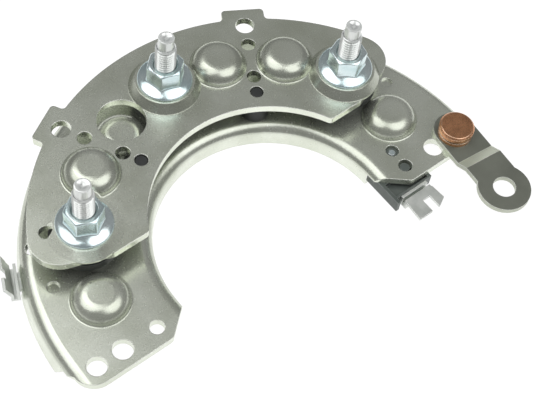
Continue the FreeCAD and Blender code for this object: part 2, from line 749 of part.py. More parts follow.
def make_terminal_board():
    # The dark moulding below the lower plate: a web with channels for the bars, chimneys and end block.
    owner = new_body("terminal_board")
    deep = f"({lower_floor} - board_floor)"
    inner, outer = board_inner, board_outer
    sector = flat_sketch(owner, "board_outline", "board_floor")
    draw_outline(
        sector,
        [
            polar(inner, "-90") + (inner, -1),
            polar(outer, "-90"),
            polar(outer, "0") + (outer, 1),
            polar(outer, "board_left_angle") + (outer, 1),
            polar(inner, "board_left_angle"),
            polar(inner, "0") + (inner, -1),
        ],
    )
    add_pad(owner, "board_sector", sector, deep)
    block = flat_sketch(owner, "block_outline", "board_floor")
    lug_reach = "board_block_inner + board_wall"
    draw_outline(
        block,
        [
            ("board_block_inner", "0"),
            ("board_block_inner", "-(board_block_drop + board_lug)"),
            (lug_reach, "-(board_block_drop + board_lug)"),
            (lug_reach, "-board_block_drop"),
            ("board_block_outer", "-board_block_drop"),
            ("board_block_outer", "0"),
        ],
    )
    add_pad(owner, "end_block", block, deep)
    pocket = flat_sketch(owner, "pocket_outline", lower_floor)
    draw_outline(
        pocket,
        [
            (lug_reach, "-board_pocket_rise"),
            (lug_reach, "board_wall / 2 - board_block_drop"),
            ("board_block_outer - board_wall", "board_wall / 2 - board_block_drop"),
            ("board_block_outer - board_wall", "-board_pocket_rise"),
        ],
    )
    cut_depth(owner, "end_pocket", pocket, "board_pocket_depth")
    chimneys = flat_sketch(owner, "chimney_circles", lower_floor)
    for angle in ("far_angle", "-near_angle", "-far_angle"):
        draw_circle(chimneys, polar("diode_circle", angle), "chimney_radius")
    add_pad(owner, "chimneys", chimneys, f"chimney_top - {lower_floor}")
    posts = flat_sketch(owner, "post_circles", lower_floor)
    draw_circle(posts, ("post_hole_reach", "-end_hole_drop"), "post_radius")
    draw_circle(posts, ("pin_hole_reach", "pin_hole_rise"), "pin_hole_radius - spacer_clearance")
    add_pad(owner, "posts", posts, "post_rise")
    for side, bar in phase_bars.items():
        depth = f"{bar_top} - board_floor"
        draw_bar_pieces(owner, "channel_" + side, "board_floor", depth, "channel_margin", bar, True)
    holes = flat_sketch(owner, "board_hole_circles", lower_floor)
    for angle in ("far_angle", "-near_angle", "-far_angle", "near_angle", "end_angle", "-end_angle"):
        draw_circle(holes, polar("diode_circle", angle), "chimney_bore")
    for angle in ("-stud_angle", "0", "stud_angle"):
        draw_circle(holes, polar("stud_circle", angle), "washer_radius + channel_margin")
    for angle in ("-tab_angle", "tab_angle"):
        draw_circle(holes, polar("peg_circle", angle), "peg_radius + spacer_clearance")
    draw_circle(holes, ("pin_hole_reach", "pin_hole_rise"), "pin_radius + spacer_clearance / 2")
    cut_through(owner, "board_holes", holes)
    return owner


def make_phase_terminal(side, place, turn, top, reach, rise, shift="0", slant="0"):
    # A folded strip: two leaves back to back, joined at the foot, the outer one ending in a fork.
    owner = new_body("phase_terminal_" + side)
    outer = "(2 * leaf_thickness + leaf_gap)"
    slope = f"(({rise}) / ({reach}))"
    length = f"sqrt(({reach})^2 + ({rise})^2)"
    across = f"(leaf_thickness * ({rise}) / {length})"
    above = f"(leaf_thickness * ({reach}) / {length})"
    bend = f"({top} - leaf_thickness)"
    tip_reach, tip_level = f"({outer} + {reach})", f"({bend} + {rise})"
    inner_face = f"({outer} - leaf_thickness)"
    mitre = f"{tip_level} + {above} + ({inner_face} - {tip_reach} + {across}) * {slope}"
    side_view = draw_outline(
        upright_sketch(owner, side + "_terminal_section"),
        [
            ("0", "leaf_floor"),
            (outer, "leaf_floor"),
            (outer, bend),
            (tip_reach, tip_level),
            (f"{tip_reach} - {across}", f"{tip_level} + {above}"),
            (inner_face, mitre),
            (inner_face, "leaf_floor + leaf_thickness"),
            ("leaf_thickness", "leaf_floor + leaf_thickness"),
            ("leaf_thickness", top),
            ("0", top),
        ],
    )
    add_pad(owner, side + "_terminal", side_view, "fork_tip_width", True)
    trims = flat_sketch(owner, side + "_fork_trims", top)
    far = f"({outer} + 2 * ({reach}))"
    wide = "fork_tip_width"
    for sign in ("", "-"):
        draw_outline(
            trims,
            [
                ("-leaf_thickness", f"{sign}leaf_width / 2"),
                (outer, f"{sign}leaf_width / 2"),
                (outer, f"{sign}fork_root_width / 2"),
                (tip_reach, f"{sign}fork_tip_width / 2"),
                (far, f"{sign}{wide}"),
                ("-leaf_thickness", f"{sign}{wide}"),
            ],
        )
    notch = f"({tip_reach} - ({reach}) * fork_notch_share)"
    draw_outline(
        trims,
        [
            (notch, f"{shift} - fork_notch_width / 2"),
            (far, f"{shift} - fork_notch_width / 2"),
            (far, f"{shift} + fork_notch_width / 2"),
            (notch, f"{shift} + fork_notch_width / 2"),
        ],
    )
    cut_through(owner, side + "_fork", trims)
    if slant != "0":
        corner = flat_sketch(owner, side + "_prong_slant", top)
        inner_side = f"{shift} + fork_notch_width / 2"
        draw_outline(
            corner,
            [(f"{tip_reach} - {slant}", "fork_tip_width / 2"), (tip_reach, inner_side), (far, wide)],
        )
        cut_through(owner, side + "_prong", corner)
    seat(owner, place[0], place[1], "0", turn)
    return owner


def make_diode(label, angle, face, drop):
    # A chip under the roof of the dome with a nail-headed lead that goes down through its phase bar.
    roof = f"({face} + cavity_roof)"
    head = f"({roof} - die_thickness)"
    neck = f"({head} - lead_head_thickness)"
    owner = turned_piece(
        label,
        [
            ("0", drop),
            ("lead_radius", drop),
            ("lead_radius", neck),
            ("lead_head_radius", neck),
            ("lead_head_radius", head),
            ("die_radius", head),
            ("die_radius", roof),
            ("0", roof),
        ],
    )
    x, y = polar("diode_circle", angle)
    seat(owner, x, y)
    return owner


def make_sealing(label, angle, face):
    # The resin that fills a dome's cavity round the chip, flush with the plate's underside.
    roof = f"({face} + cavity_roof)"
    head = f"({roof} - die_thickness)"
    neck = f"({head} - lead_head_thickness)"
    mouth = f"({face} - plate_thickness)"
    owner = turned_piece(
        label,
        [
            ("lead_radius", mouth),
            ("cavity_mouth", mouth),
            ("cavity_mouth", f"{face} + cavity_shoulder"),
            ("cavity_roof_radius", roof),
            ("die_radius", roof),
            ("die_radius", head),
            ("lead_head_radius", head),
            ("lead_head_radius", neck),
            ("lead_radius", neck),
        ],
    )
    x, y = polar("diode_circle", angle)
    seat(owner, x, y)
    return owner


def make_stud(tag, angle):
    # Its thread is drawn at the pitch diameter where the nut grips it and at full size on the free end.
    head_top = f"({lower_floor} - washer_thickness)"
    free_start = f"({boss_face} + nut_height + stud_free_gap)"
    point = "(stud_diameter / 2 - stud_tip_diameter / 2)"
    tip = f"({upper_top} + stud_rise)"
    owner = turned_piece(
        "stud_" + tag,
        [
            ("0", f"{head_top} - stud_head_thickness"),
            ("stud_head_radius", f"{head_top} - stud_head_thickness"),
            ("stud_head_radius", head_top),
            ("stud_pitch_diameter / 2", head_top),
            ("stud_pitch_diameter / 2", free_start),
            ("stud_diameter / 2", free_start),
            ("stud_diameter / 2", f"{tip} - stud_tip_length - {point}"),
            ("stud_tip_diameter / 2", f"{tip} - stud_tip_length"),
            ("stud_tip_diameter / 2", tip),
            ("0", tip),
        ],
    )
    x, y = polar("stud_circle", angle)
    seat(owner, x, y)
    return owner


def make_nut(tag, angle, turn):
    # A hexagon nut with its flange in one piece, its top corners chamfered and its bore countersunk.
    bore = "(stud_pitch_diameter / 2 + thread_clearance)"
    flats = "(nut_across_flats / 2)"
    owner = turned_piece(
        "nut_" + tag,
        [
            (bore, "0"),
            ("nut_flange_diameter / 2", "0"),
            ("nut_flange_diameter / 2", "nut_flange_edge"),
            (flats, "nut_flange_edge + nut_flange_rise"),
            (flats, "nut_height"),
            ("nut_countersink_radius", "nut_height"),
            (bore, "nut_height - nut_countersink_depth"),
        ],
    )
    corner = "(nut_across_flats / 2 / cos(30))"
    hexagon = flat_sketch(owner, tag + "_hexagon", "0")
    draw_outline(hexagon, [(f"{corner} * cos({60 * i})", f"{corner} * sin({60 * i})") for i in range(6)])
    draw_circle(hexagon, ("0", "0"), "nut_countersink_radius")
    add_pad(owner, tag + "_flats", hexagon, "nut_height")
    bevel = draw_outline(
        upright_sketch(owner, tag + "_bevel_section"),
        [
            (flats, "nut_height"),
            (f"{corner} + nut_chamfer", f"nut_height - ({corner} + nut_chamfer - {flats}) * tan(30)"),
            (f"{corner} + nut_chamfer", "nut_height"),
        ],
    )
    turn_profile(owner, tag + "_bevel", "Groove", bevel)
    x, y = polar("stud_circle", angle)
    seat(owner, x, y, boss_face, turn)
    return owner


def make_group(label, members):
    group = doc.addObject("Part::Compound", label)
    group.Label = label
    group.Links = members
    return group


def make_spacer(label, angle):
    # Insulating bush between the plates: its neck lines the lower plate, its top fills the boss recess.
    neck = "spacer_neck_radius"
    bore = "(stud_diameter / 2 + spacer_clearance)"
    owner = turned_piece(
        label,
        [
            (bore, lower_floor),
            (neck, lower_floor),
            (neck, "channel_height"),
            ("spacer_foot_radius", "channel_height"),
            ("spacer_foot_radius", "channel_height + spacer_foot_height"),
            ("spacer_radius", "channel_height + spacer_foot_height"),
            ("spacer_radius", upper_floor),
            ("recess_roof - 2 * spacer_clearance", upper_floor),
            ("recess_roof - 2 * spacer_clearance", f"{upper_floor} + boss_height"),
            (bore, f"{upper_floor} + boss_height"),
        ],
    )
    x, y = polar("stud_circle", angle)
    seat(owner, x, y)
    return owner


def make_washer(label, angle):
    bore = "(stud_diameter / 2 + spacer_clearance)"
    low = f"{lower_floor} - washer_thickness"
    corners = [(bore, low), ("washer_radius", low), ("washer_radius", lower_floor), (bore, lower_floor)]
    owner = turned_piece(label, corners)
    x, y = polar("stud_circle", angle)
    seat(owner, x, y)
    return owner


def make_peg_spacer(label, angle):
    # A round distance piece with a peg that keys both plates together.
    owner = new_body(label)
    disc = flat_sketch(owner, label + "_disc_circle", "channel_height")
    draw_circle(disc, polar("peg_spacer_circle", angle), "peg_spacer_radius")
    add_pad(owner, label + "_disc", disc, "plate_gap")
    peg = flat_sketch(owner, label + "_peg_circle", lower_floor)
    draw_circle(peg, polar("peg_circle", angle), "peg_radius")
    add_pad(owner, label + "_peg", peg, f"{upper_top} - peg_top_gap - {lower_floor}")
    return owner


def make_locating_pin():
    # Small pin on the right phase bar that comes up through the collar.
    corners = [("0", bar_top), ("pin_radius", bar_top)]
    corners += [("pin_radius", f"{lower_floor} + pin_rise"), ("0", f"{lower_floor} + pin_rise")]
    owner = turned_piece("locating_pin", corners)
    seat(owner, "pin_hole_reach", "pin_hole_rise")
    return owner


def make_contact_rivet():
    strap_top = "(channel_height + strap_thickness)"
    rim_top = f"({strap_top} + rivet_rim_height)"
    groove_top = f"({rim_top} + rivet_groove_height)"
    head_top = f"({groove_top} + rivet_head_height)"
    owner = turned_piece(
        "contact_rivet",
        [
            ("0", f"{lower_floor} - rivet_foot_height"),
            ("rivet_foot_radius", f"{lower_floor} - rivet_foot_height"),
            ("rivet_foot_radius", lower_floor),
            ("rivet_shank_radius", lower_floor),
            ("rivet_shank_radius", strap_top),
            ("rivet_rim_radius", strap_top),
            ("rivet_rim_radius", rim_top),
            ("rivet_groove_radius", rim_top),
            ("rivet_groove_radius", groove_top),
            ("rivet_head_radius", groove_top),
            ("rivet_head_radius", f"{head_top} - rivet_bevel"),
            ("rivet_head_radius - rivet_bevel", head_top),
            ("0", head_top),
        ],
    )
    seat(owner, "rivet_reach", "-rivet_drop")
    return owner


def make_connector_strap():
    # A flat strip beside the rivet's centre line that steps up once; its far end widens into an eye.
    owner = new_body("connector_strap")
    low, high = "0", "strap_thickness"
    side_view = draw_outline(
        upright_sketch(owner, "strap_section"),
        [
            ("-2 * strap_half_width", low),
            ("joggle_start", low),
            ("joggle_stop", "joggle_rise"),
            ("strap_length + 2 * eye_radius", "joggle_rise"),
            ("strap_length + 2 * eye_radius", f"joggle_rise + {high}"),
            ("joggle_stop", f"joggle_rise + {high}"),
            ("joggle_start", high),
            ("-2 * strap_half_width", high),
        ],
    )
    add_pad(owner, "strap_strip", side_view, "4 * eye_radius", True)
    trims = flat_sketch(owner, "strap_trims", low)
    near, far, wide = "-3 * strap_half_width", "strap_length + 3 * eye_radius", "3 * eye_radius"
    draw_outline(trims, [(near, "-" + wide), (far, "-" + wide), (far, wide), (near, wide)])
    half, eye = "strap_half_width", "eye_radius"
    right, left = "(strap_offset - strap_half_width)", "(strap_offset + strap_half_width)"
    waist = "strap_length - sqrt(eye_radius^2 - {}^2)"
    draw_outline(
        trims,
        [
            ("-(strap_end_shift + strap_half_width)", "strap_offset", half, 1),
            ("-strap_end_shift", right, half, 1),
            (waist.format(right), right),
            ("strap_length", "-" + eye, eye, 1),
            ("strap_length + " + eye, "0", eye, 1),
            ("strap_length", eye, eye, 1),
            (waist.format(left), left, eye, 1),
            ("-strap_end_shift", left),
        ],
    )
    cut_through(owner, "strap_outline", trims)
    holes = flat_sketch(owner, "strap_hole_circles", low)
    draw_circle(holes, ("0", "0"), "rivet_shank_radius + rivet_clearance")
    draw_circle(holes, ("strap_length", "0"), "eye_hole_radius")
    cut_through(owner, "strap_holes", holes)
    seat(owner, "rivet_reach", "-rivet_drop", "channel_height", "-90 - strap_swing")
    return owner


def make_all():
    nodes = [make_positive_plate(), make_negative_plate(), make_terminal_board()]
    nodes += [make_phase_bar(side) for side in phase_bars]
    right_place = ("terminal_reach", "-(board_block_drop + leaf_seat)")
    left_place = polar(rim_seat, "left_arm_angle")
    middle_place = polar(rim_seat, "-middle_arm_angle")
    nodes += [
        make_phase_terminal(
            "right",
            right_place,
            "-90",
            "terminal_top",
            "right_fork_reach",
            "0",
            "right_notch_shift",
            "right_fork_slant",
        ),
        make_phase_terminal(
            "middle", middle_place, "90 - middle_arm_angle", "middle_terminal_top", "middle_fork_reach", "0"
        ),
        make_phase_terminal(
            "left", left_place, "90 + left_arm_angle", "terminal_top", "left_fork_reach", "left_fork_rise"
        ),
    ]
    drop = f"({bar_floor} - lead_stub)"
    rows = {
        "positive": (("far_angle", "-near_angle", "-far_angle"), upper_top),
        "negative": (("end_angle", "near_angle", "-end_angle"), "channel_height"),
    }
    for kind, (angles, face) in rows.items():
        for index, angle in enumerate(angles, 1):
            nodes.append(make_diode(f"{kind}_diode_{index}", angle, face, drop))
            nodes.append(make_sealing(f"{kind}_sealing_{index}", angle, face))
    stud_angles = {"left": "stud_angle", "middle": "0", "right": "-stud_angle"}
    studs = [make_stud(tag, angle) for tag, angle in stud_angles.items()]
    nuts = [make_nut(tag, angle, "nut_turn_" + tag) for tag, angle in stud_angles.items()]
    nodes += [make_group("mounting_studs", studs), make_group("flange_nuts", nuts)]
    for index, angle in enumerate(stud_angles.values(), 1):
        nodes.append(make_spacer(f"insulating_spacer_{index}", angle))
        nodes.append(make_washer(f"insulating_washer_{index}", angle))
    for side, angle in (("left", "tab_angle"), ("right", "-tab_angle")):
        nodes.append(make_peg_spacer("peg_spacer_" + side, angle))
    nodes += [make_locating_pin(), make_contact_rivet(), make_connector_strap()]
    return nodes


def check_features():
    for feature in doc.Objects:
        if "Invalid" in feature.State or "Error" in feature.State:
            raise RuntimeError(f"{feature.Name} failed: {feature.State}")
        if feature.TypeId in ("PartDesign::Pocket", "PartDesign::Groove"):
            if feature.Shape.Volume >= feature.BaseFeature.Shape.Volume:
                raise RuntimeError(f"{feature.Name} cuts nothing")


def export(nodes):
    os.makedirs("parts", exist_ok=True)
    for node in nodes:
        if node.Shape.isNull() or not node.Shape.isValid():
            raise RuntimeError(f"{node.Label} has no valid shape")
        node.Shape.exportStep(f"parts/{node.Label}.step")
        print(f"{node.Label}: {len(node.Shape.Solids)} solids, {node.Shape.Volume:.1f} mm3")


nodes = make_all()
doc.recompute()
check_features()
export(nodes)
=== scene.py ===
import math

import bpy
import numpy as np
from mathutils import Matrix, Vector


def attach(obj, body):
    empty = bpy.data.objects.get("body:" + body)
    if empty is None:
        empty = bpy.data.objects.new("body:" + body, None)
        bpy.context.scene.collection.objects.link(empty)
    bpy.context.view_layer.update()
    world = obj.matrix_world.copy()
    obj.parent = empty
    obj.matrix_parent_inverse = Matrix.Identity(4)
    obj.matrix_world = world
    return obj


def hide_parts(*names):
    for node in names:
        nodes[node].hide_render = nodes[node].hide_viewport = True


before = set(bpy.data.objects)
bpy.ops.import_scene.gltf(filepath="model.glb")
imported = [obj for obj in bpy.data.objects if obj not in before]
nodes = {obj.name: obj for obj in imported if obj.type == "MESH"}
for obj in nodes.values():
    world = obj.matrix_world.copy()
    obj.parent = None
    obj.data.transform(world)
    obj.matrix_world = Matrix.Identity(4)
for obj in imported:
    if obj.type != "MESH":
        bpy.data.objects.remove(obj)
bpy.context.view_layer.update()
scene = bpy.context.scene
millimetre = 0.001
print("frame loaded,", len(nodes), "nodes")


# short ways to add one node: an input is a number, a vector, a colour or another node's output
def plug(tree, socket, value):
    if isinstance(value, bpy.types.NodeSocket):
        tree.links.new(value, socket)
    else:
        socket.default_value = value


def addNode(tree, kind, inputs={}, **settings):
    node = tree.nodes.new(kind)
    for key, value in settings.items():
        setattr(node, key, value)
    for key, value in inputs.items():
        plug(tree, node.inputs[key], value)
    return node


def addMath(tree, operation, *values):
    inputs = dict(enumerate(values))
    return addNode(tree, "ShaderNodeMath", inputs, operation=operation).outputs[0]


def addRange(tree, value, start, stop, low=0.0, high=1.0, kind="LINEAR"):
    # the value's run from start to stop becomes low to high
    inputs = {"Value": value, "From Min": start, "From Max": stop, "To Min": low, "To Max": high}
    return addNode(tree, "ShaderNodeMapRange", inputs, interpolation_type=kind).outputs[0]


def addMix(tree, kind, share, first, second):
    a, b, mixed = {"FLOAT": (2, 3, 0), "VECTOR": (4, 5, 1), "RGBA": (6, 7, 2)}[kind]
    inputs = {0: share, a: first, b: second}
    return addNode(tree, "ShaderNodeMix", inputs, data_type=kind).outputs[mixed]


# the camera, fitted to the plates' arcs, the holes and the stud tips
cameraSpec = {
    "lookAt": (-0.000165, 0.004353, 0.01345),
    "distance": 0.3075,
    "heading": 46.28,      # degrees that the view direction turns from +Y towards +X
    "elevation": 57.53,    # degrees that it looks down
    "roll": 9.154,         # degrees that the picture turns about it
    "lens": 91.88,
    "sensorWidth": 36.0,
    "clipStart": 0.01,
}


def makeCamera(spec):
    # forward = (cos e sin h, cos e cos h, -sin e), then the picture turns by the roll r about it
    h, e, r = (math.radians(spec[key]) for key in ("heading", "elevation", "roll"))
    forward = Vector((math.cos(e) * math.sin(h), math.cos(e) * math.cos(h), -math.sin(e)))
    right = forward.cross(Vector((0, 0, 1))).normalized()
    up = right.cross(forward)
    across = math.cos(r) * right + math.sin(r) * up
    upward = math.cos(r) * up - math.sin(r) * right
    turn = Matrix((across, upward, -forward)).transposed().to_4x4()
    cameraData = bpy.data.cameras.new("productCamera")
    cameraData.sensor_width = spec["sensorWidth"]
    cameraData.sensor_fit = "HORIZONTAL"
    cameraData.lens = spec["lens"]
    cameraData.clip_start = spec["clipStart"]
    camera = bpy.data.objects.new("productCamera", cameraData)
    scene.collection.objects.link(camera)
    spot = Vector(spec["lookAt"]) - spec["distance"] * forward
    camera.matrix_world = Matrix.Translation(spot) @ turn
    scene.camera = camera


makeCamera(cameraSpec)
print("camera placed")


# the stage: white table, pale room and three soft lamps, one at each side and a weak one beyond
stageSpec = {
    "tableSize": 3.0,
    "tableColor": (0.86, 0.86, 0.85, 1.0),
    "tableWhite": 0.84,              # share of the plain glow where the table is seen directly
    "tableGlow": 1.16,
    "nearLight": 0.38,               # the room's horizon behind the camera
    "farLight": 0.24,                # and beyond the object
    "highLight": 0.29,               # the room overhead
    "horizonTurn": (-0.7, 0.1),      # how far a direction points back to the camera: far, near
    "overheadTurn": (0.05, 0.62),    # Z of a direction: horizon below 3 degrees, overhead from 38
    "lamps": [
        # name, degrees round from the camera, elevation, distance, size, watts
        ("lampLeft", 84.0, 62.0, 0.55, 0.56, 1.15),
        ("lampRight", -80.0, 61.0, 0.55, 0.54, 1.10),
        ("lampBeyond", 122.0, 58.0, 0.60, 0.30, 0.11),
    ],
}


def seenDirectly(tree):
    # 1 for rays that the camera, a mirror or a glass sends out, 0 for the rays that carry light
    path = addNode(tree, "ShaderNodeLightPath").outputs
    seen = addMath(tree, "MAXIMUM", path["Is Camera Ray"], path["Is Glossy Ray"])
    return addMath(tree, "MAXIMUM", seen, path["Is Transmission Ray"])


def makeTable(spec):
    # matt paper takes the light and the shadow, and a plain glow is mixed in where it is seen
    half = spec["tableSize"] / 2
    corners = [(-half, -half, 0), (half, -half, 0), (half, half, 0), (-half, half, 0)]
    mesh = bpy.data.meshes.new("table")
    mesh.from_pydata(corners, [], [(0, 1, 2, 3)])
    table = bpy.data.objects.new("table", mesh)
    scene.collection.objects.link(table)
    paper = bpy.data.materials.new("whitePaper")
    paper.use_nodes = True
    tree = paper.node_tree
    tree.nodes.clear()
    matt = addNode(tree, "ShaderNodeBsdfDiffuse", {"Color": spec["tableColor"]}).outputs[0]
    glow = addNode(tree, "ShaderNodeEmission", {"Strength": spec["tableGlow"]}).outputs[0]
    share = addMath(tree, "MULTIPLY", seenDirectly(tree), spec["tableWhite"])
    blend = addNode(tree, "ShaderNodeMixShader", {0: share, 1: matt, 2: glow}).outputs[0]
    addNode(tree, "ShaderNodeOutputMaterial", {"Surface": blend})
    mesh.materials.append(paper)


def makeSurroundings(spec):
    # horizon = mix(farLight, nearLight, how far the direction points back to the camera)
    # strength = mix(horizon, highLight, how far it points up); the camera sees an even pale room
    world = bpy.data.worlds.new("paleRoom")
    scene.world = world
    world.use_nodes = True
    tree = world.node_tree
    tree.nodes.clear()
    direction = addNode(tree, "ShaderNodeTexCoord").outputs["Generated"]
    h = math.radians(cameraSpec["heading"])
    towards = {0: direction, 1: (-math.sin(h), -math.cos(h), 0)}
    back = addNode(tree, "ShaderNodeVectorMath", towards, operation="DOT_PRODUCT").outputs["Value"]
    horizon = addRange(
        tree, back, *spec["horizonTurn"], spec["farLight"], spec["nearLight"], "SMOOTHSTEP")
    upward = addNode(tree, "ShaderNodeSeparateXYZ", {0: direction}).outputs["Z"]
    strength = addRange(
        tree, upward, *spec["overheadTurn"], horizon, spec["highLight"], "SMOOTHSTEP")
    room = addNode(tree, "ShaderNodeBackground", {"Strength": strength}).outputs[0]
    even = addNode(tree, "ShaderNodeBackground").outputs[0]
    seen = addNode(tree, "ShaderNodeLightPath").outputs["Is Camera Ray"]
    blend = addNode(tree, "ShaderNodeMixShader", {0: seen, 1: room, 2: even}).outputs[0]
    addNode(tree, "ShaderNodeOutputWorld", {"Surface": blend})


def makeLamps(spec):
    # a lamp stands at its distance along (cos e sin a, cos e cos a, sin e) and faces the object
    aim = Vector(cameraSpec["lookAt"])
    for name, around, elevation, distance, size, watts in spec["lamps"]:
        a = math.radians(cameraSpec["heading"] + 180 + around)
        e = math.radians(elevation)
        away = Vector((math.cos(e) * math.sin(a), math.cos(e) * math.cos(a), math.sin(e)))
        lampData = bpy.data.lights.new(name, "AREA")
        lampData.shape = "DISK"
        lampData.size = size
        lampData.energy = watts
        lamp = bpy.data.objects.new(name, lampData)
        scene.collection.objects.link(lamp)
        turn = away.to_track_quat("Z", "Y").to_matrix().to_4x4()
        lamp.matrix_world = Matrix.Translation(aim + distance * away) @ turn


makeTable(stageSpec)
makeSurroundings(stageSpec)
makeLamps(stageSpec)
scene.view_settings.view_transform = "Standard"
print("stage and light made")


# effects that several finishes share, as node groups
def newGroup(name, inputs, outputs):
    group = bpy.data.node_groups.new(name, "ShaderNodeTree")
    for label, kind in inputs.items():
        group.interface.new_socket(name=label, in_out="INPUT", socket_type=kind)
    for label, kind in outputs.items():
        group.interface.new_socket(name=label, in_out="OUTPUT", socket_type=kind)
    return group, group.nodes.new("NodeGroupInput"), group.nodes.new("NodeGroupOutput")


edgeSpec = {
    "samples": 6,
    "turn": (0.995, 0.86),    # cosine of the lean where the edge colour starts and where it is full
}


def makeSoftEdges(spec):
    # edge = how far the rounded normal leans from the plain one, 0 on faces and 1 on sharp edges;
    # the finishes paint their edge highlight by it
    group, given, result = newGroup(
        "softEdges",
        {"Width": "NodeSocketFloat"},
        {"Edge": "NodeSocketFloat", "Normal": "NodeSocketVector"},
    )
    radius = {"Radius": given.outputs["Width"]}
    rounded = addNode(group, "ShaderNodeBevel", radius, samples=spec["samples"]).outputs["Normal"]
    plain = addNode(group, "ShaderNodeNewGeometry").outputs["Normal"]
    pair = {0: rounded, 1: plain}
    lean = addNode(group, "ShaderNodeVectorMath", pair, operation="DOT_PRODUCT").outputs["Value"]
    plug(group, result.inputs["Edge"], addRange(group, lean, *spec["turn"]))
    plug(group, result.inputs["Normal"], rounded)
    return group


grainSpec = {
    "cloudDetail": {"Detail": 4.0, "Roughness": 0.5},
    "grainDetail": {"Detail": 3.0},
}


def makeSheetGrain(spec):
    # cloud = broad stains, grain = the fine pebbled finish, both about 0.5
    group, given, result = newGroup(
        "sheetGrain",
        {"Cloud Scale": "NodeSocketFloat", "Grain Scale": "NodeSocketFloat"},
        {"Cloud": "NodeSocketFloat", "Grain": "NodeSocketFloat"},
    )
    place = addNode(group, "ShaderNodeTexCoord").outputs["Object"]
    for label, detail in (("Cloud", spec["cloudDetail"]), ("Grain", spec["grainDetail"])):
        inputs = {"Vector": place, "Scale": given.outputs[label + " Scale"], **detail}
        noise = addNode(group, "ShaderNodeTexNoise", inputs)
        plug(group, result.inputs[label], noise.outputs["Fac"])
    return group


studCentres = {
    "left": (-0.0376288, 0.021725, 0.0),
    "middle": (0.0, 0.04345, 0.0),
    "right": (0.0376288, 0.021725, 0.0),
}
seatSpec = {
    # how far each seat is shaded as level
    "shares": {"left": 1.0, "middle": 0.06, "right": 0.06},
    "outer": 0.0093,        # distance from the stud's axis where a seat starts
    "inner": 0.0087,        # and where it is full
    "face": 0.01346,        # only what is higher than this is a seat
    "edgeLimit": 0.05,      # edges keep their colour where less than this of a seat is seen
}


def makeSeatBlend(spec):
    # seat = smooth step of the distance to the nearest stud's axis, above the plate's face only
    # flat = seat times that side's share; normal = mix(given normal, straight up, flat)
    group, given, result = newGroup(
        "seatBlend",
        {"Normal": "NodeSocketVector"},
        {"Seat": "NodeSocketFloat", "Flat": "NodeSocketFloat", "Normal": "NodeSocketVector"},
    )
    place = addNode(group, "ShaderNodeTexCoord").outputs["Object"]
    onPlan = {0: place, 1: (1, 1, 0)}
    plan = addNode(group, "ShaderNodeVectorMath", onPlan, operation="MULTIPLY").outputs[0]
    seat, flat = None, None
    for side, share in spec["shares"].items():
        ends = {0: plan, 1: studCentres[side]}
        reach = addNode(group, "ShaderNodeVectorMath", ends, operation="DISTANCE").outputs["Value"]
        near = addRange(group, reach, spec["outer"], spec["inner"], kind="SMOOTHSTEP")
        held = addMath(group, "MULTIPLY", near, share)
        seat = near if seat is None else addMath(group, "MAXIMUM", seat, near)
        flat = held if flat is None else addMath(group, "MAXIMUM", flat, held)
    height = addNode(group, "ShaderNodeSeparateXYZ", {0: place}).outputs["Z"]
    above = addMath(group, "GREATER_THAN", height, spec["face"])
    seat = addMath(group, "MULTIPLY", seat, above)
    flat = addMath(group, "MULTIPLY", flat, above)
    lifted = addMix(group, "VECTOR", flat, given.outputs["Normal"], (0, 0, 1))
    unit = addNode(group, "ShaderNodeVectorMath", {0: lifted}, operation="NORMALIZE").outputs[0]
    plug(group, result.inputs["Seat"], seat)
    plug(group, result.inputs["Flat"], flat)
    plug(group, result.inputs["Normal"], unit)
    return group


softEdges = makeSoftEdges(edgeSpec)
sheetGrain = makeSheetGrain(grainSpec)
seatBlend = makeSeatBlend(seatSpec)

# where each effect starts and where it is full
finishRanges = {
    "stain": (0.38, 0.66),         # of the cloud noise
    "roughness": (0.3, 0.7),       # of the grain noise
    "root": (0.498, 0.465),        # of the surface's pointiness, which is low in a hollow
    "pebbles": (0.990, 0.955),     # of the levelness, 8 and 17 degrees from level
}
toneSpan = 4    # the slope's ramp holds each tone divided by this, so that it stays within 1

# what both plates share
sheetSpec = {
    # edge: the painted highlight colour that sharp edges take, here and in every finish with an
    # edgeWidth
    "edge": (0.98, 0.98, 0.95), "roughness": (0.254, 0.276),
    "cloudScale": 90.0, "grainScale": 1200.0, "edgeWidth": 0.00026, "bump": 0.000018,
    "calm": 0.04,    # share of the bump on level faces
}
